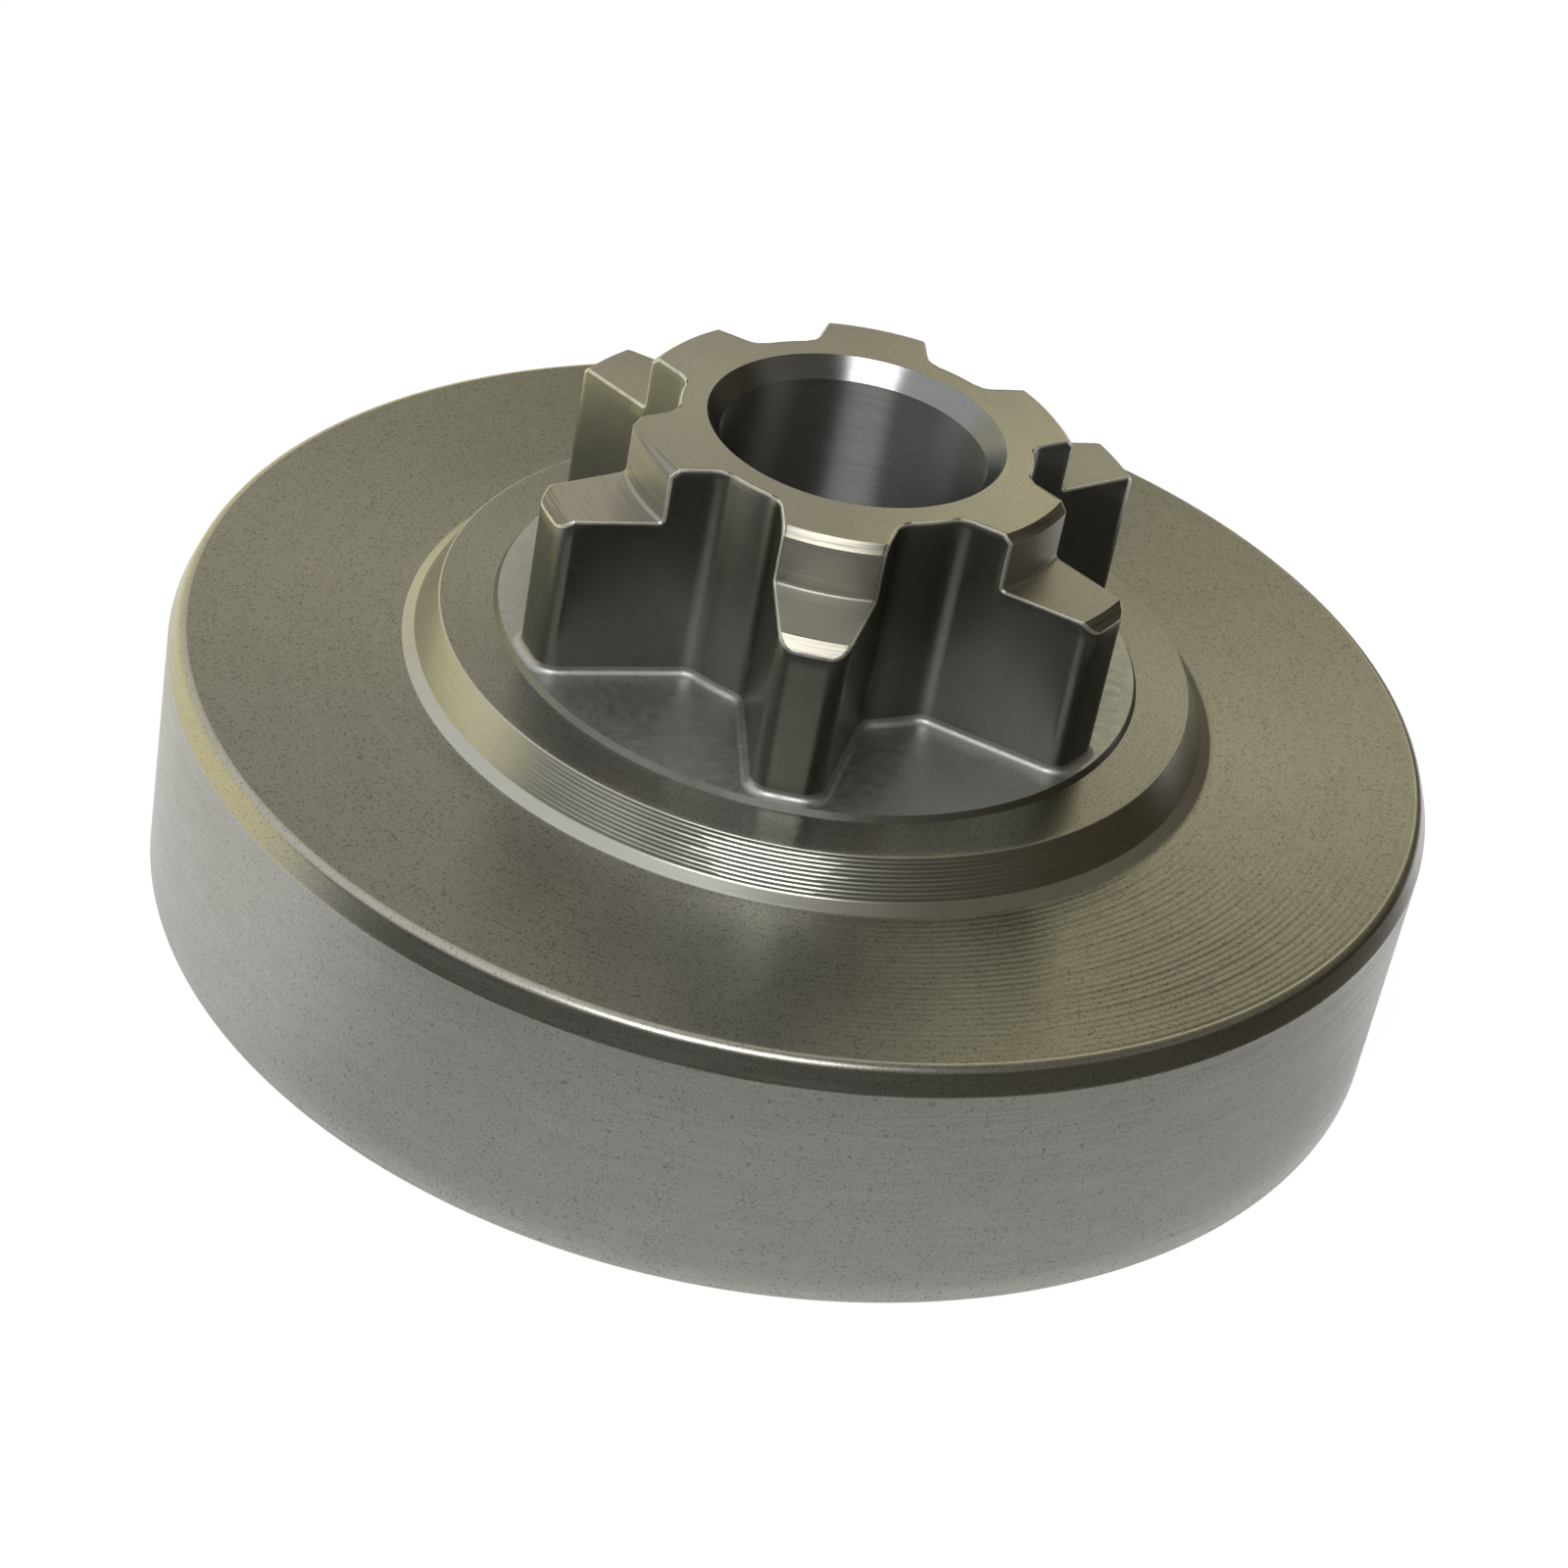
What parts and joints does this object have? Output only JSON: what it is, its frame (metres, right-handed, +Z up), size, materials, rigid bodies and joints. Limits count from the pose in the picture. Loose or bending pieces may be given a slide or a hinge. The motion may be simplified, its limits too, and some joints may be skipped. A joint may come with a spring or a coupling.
{
  "type": "clutch drum sprocket",
  "caption": "Turned steel clutch drum with an open cup below and a toothed chain sprocket, stepped collar and bearing bore on its closed face.",
  "frame": {"origin": "centre of the drum's open rim, on the axis of rotation", "axes": "+Z up the axis of rotation, from the rim towards the sprocket; one tooth points along -Y"},
  "size_m": [0.063, 0.063, 0.0273],
  "materials": {
    "turned_steel": "fine-turned bare steel, satin, lightly oiled"
  },
  "bodies": {
    "root": {"clutch_drum_sprocket": "turned_steel"}
  },
  "joints": []
}
